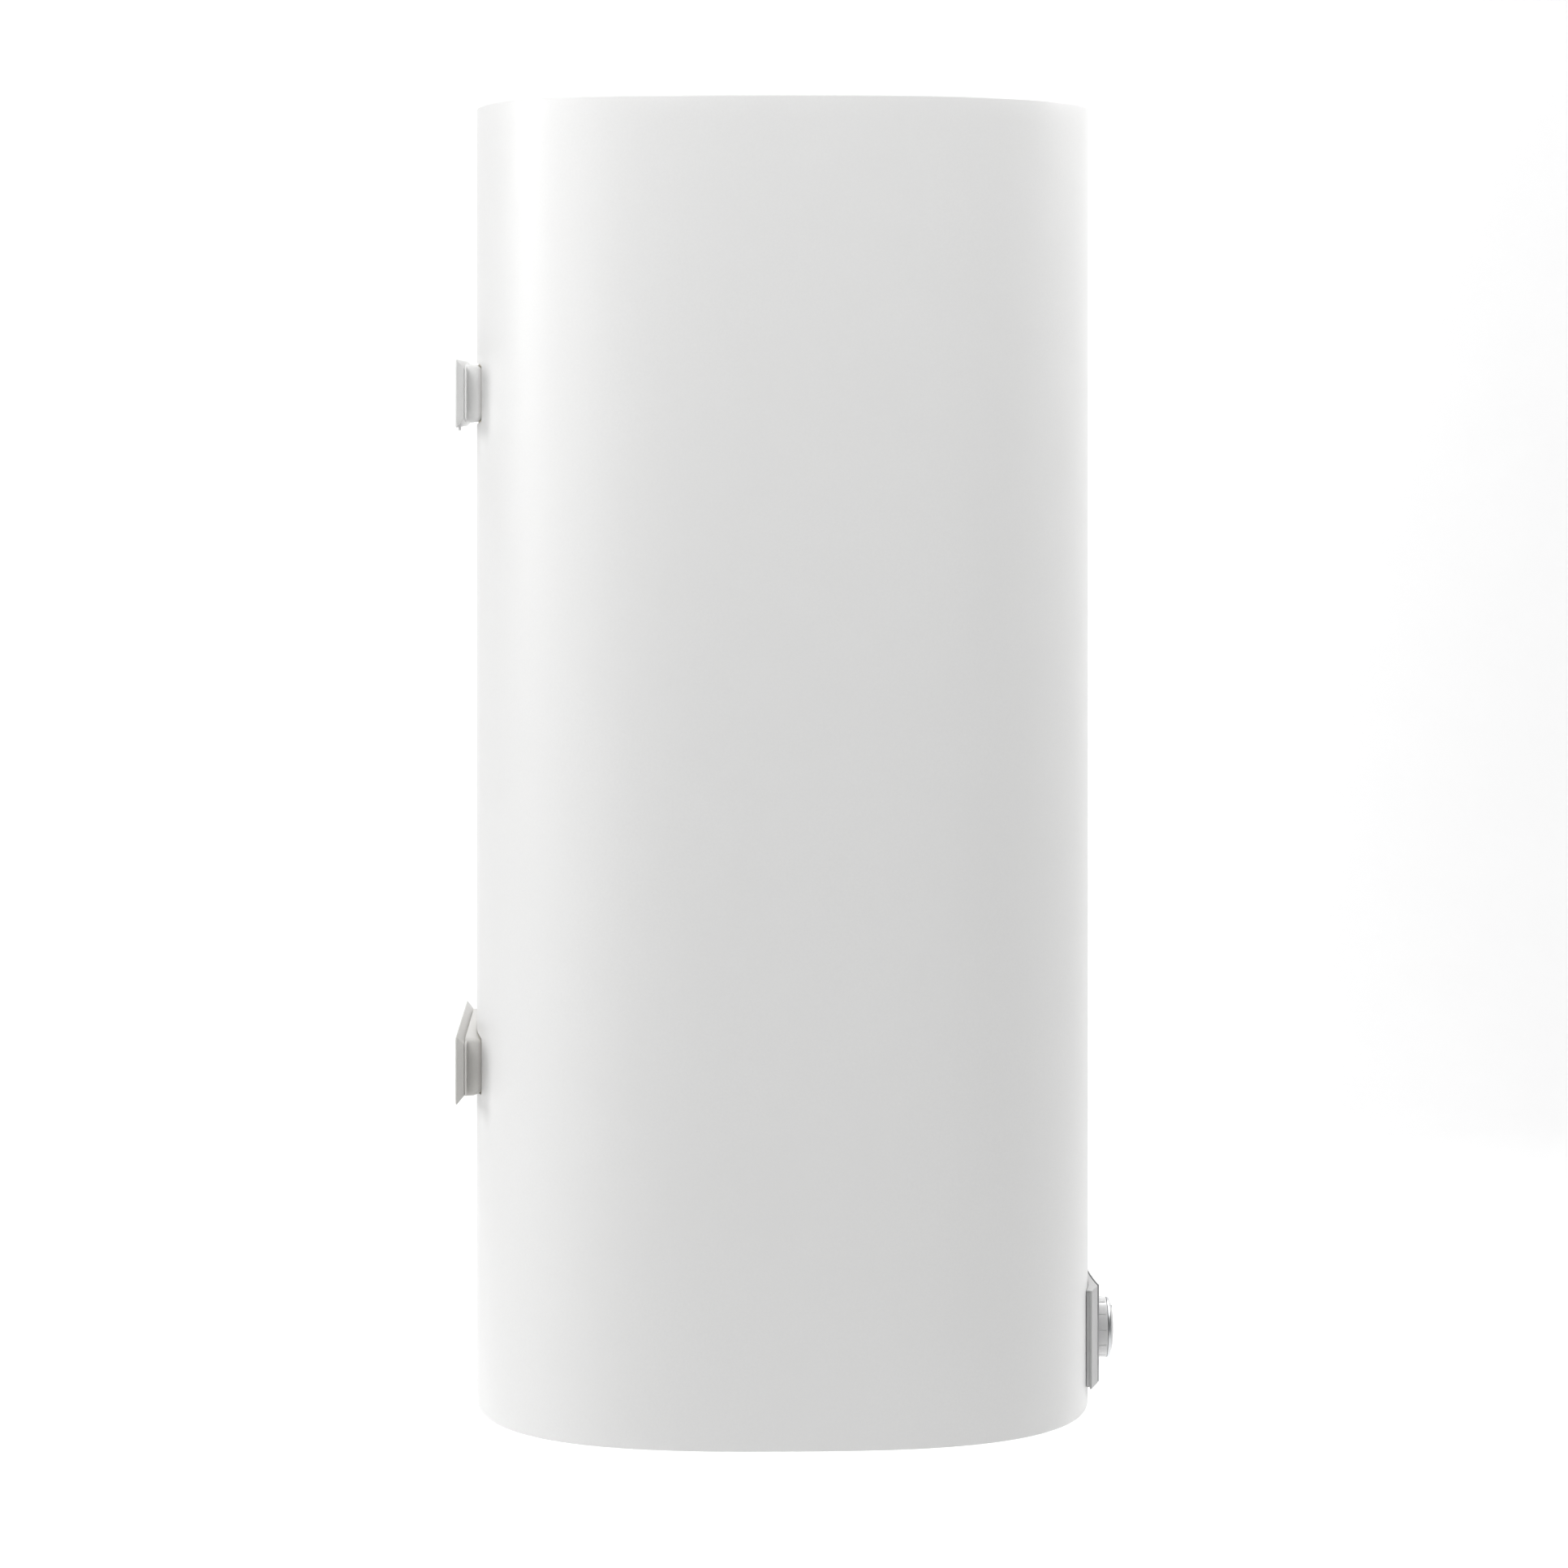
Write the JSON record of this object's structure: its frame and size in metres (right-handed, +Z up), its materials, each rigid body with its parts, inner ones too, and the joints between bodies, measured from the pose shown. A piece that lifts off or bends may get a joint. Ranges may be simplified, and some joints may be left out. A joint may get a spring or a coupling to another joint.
{
  "type": "tank water heater",
  "caption": "Wall-hung electric storage water heater: rounded-square upright casing, insulated enamelled tank, wall brackets, front panel with a thermostat knob.",
  "frame": {"origin": "middle of the upper bracket's wall face", "axes": "+Z up, +Y into the wall, -Y out of the front; the wall is the plane Y = 0"},
  "size_m": [0.454, 0.4845, 0.975],
  "materials": {
    "casing_white": "satin powder coat",
    "cover_white": "fine moulded texture",
    "bracket_white": "satin powder coat",
    "bracket_grey": "satin warm grey coat",
    "foam": "rigid foam",
    "enamel": "glass enamel on steel",
    "zinc_pipe": "zinc plated",
    "steel": "zinc plated",
    "magnesium": "cast, dull",
    "steatite": "unglazed",
    "black_rubber": "moulded",
    "inner_plastic": "moulded",
    "copper": "drawn copper",
    "brass": "machined",
    "black_plastic": "moulded",
    "wire_brown": "sleeve",
    "wire_blue": "sleeve",
    "wire_green": "sleeve",
    "ring_blue": "moulded",
    "ring_red": "moulded",
    "panel_dark": "moulded",
    "panel_grey": "fine moulded texture",
    "fascia_silver": "satin silver",
    "amber_lens": "clear amber",
    "knob_white": "semi-gloss",
    "knob_chrome": "bright",
    "pointer_red": "moulded"
  },
  "bodies": {
    "root": {"outer_casing": "casing_white", "top_cover": "cover_white", "bottom_cover": "cover_white", "foam_insulation": "foam", "bottom_cover_screw_1": "steel", "bottom_cover_screw_2": "steel", "upper_bracket_plate": "bracket_white", "upper_bracket_leg": "bracket_white", "lower_bracket_plate": "bracket_grey", "lower_bracket_leg": "bracket_grey", "tank_shell": "enamel", "tank_top_dome": "enamel", "tank_bottom_dome": "enamel", "tank_flange_collar": "enamel", "cold_inlet_pipe": "zinc_pipe", "hot_outlet_pipe": "zinc_pipe", "cold_water_ring": "ring_blue", "hot_water_ring": "ring_red", "cold_pipe_grommet": "black_rubber", "hot_pipe_grommet": "black_rubber", "hot_water_standpipe": "steel", "inlet_diffuser": "inner_plastic", "flange_gasket": "black_rubber", "service_flange": "steel", "element_sleeve_left": "enamel", "element_sleeve_right": "enamel", "ceramic_element_left": "steatite", "ceramic_element_right": "steatite", "sensor_pocket": "copper", "thermostat_bulb": "copper", "anode_bolt": "brass", "magnesium_anode": "magnesium", "thermostat": "black_plastic", "thermostat_plate": "steel", "safety_cutout": "black_plastic", "terminal_block": "inner_plastic", "cable_gland": "black_plastic", "cable_gland_nut": "black_plastic", "live_wire": "wire_brown", "link_wire": "wire_brown", "switched_wire": "wire_brown", "bridge_wire": "wire_brown", "neutral_wire": "wire_blue", "earth_wire": "wire_green", "panel_foot": "panel_dark", "panel_housing": "panel_grey", "panel_fascia": "fascia_silver", "pilot_lamp_lens": "amber_lens", "flange_bolt_1": "steel", "flange_bolt_2": "steel", "flange_bolt_3": "steel", "flange_bolt_4": "steel", "flange_bolt_5": "steel", "flange_bolt_6": "steel"},
    "knob": {"knob_grip": "knob_white", "knob_ring": "knob_chrome", "knob_cap": "knob_white", "knob_pointer": "pointer_red", "thermostat_spindle": "steel"},
    "reset_button": {"reset_button": "pointer_red"}
  },
  "joints": [
    {"name": "knob_turn", "type": "hinge", "parent": "root", "child": "knob", "pos_m": [0, -0.4625, -0.6945], "axis": [0, 1, 0], "range_deg": [-135, 135]},
    {"name": "reset_button_press", "type": "slide", "parent": "root", "child": "reset_button", "axis": [0, 0, 1], "range_m": [0, 0.002], "stiffness_N_per_m": 500, "springref_m": -0.001}
  ]
}
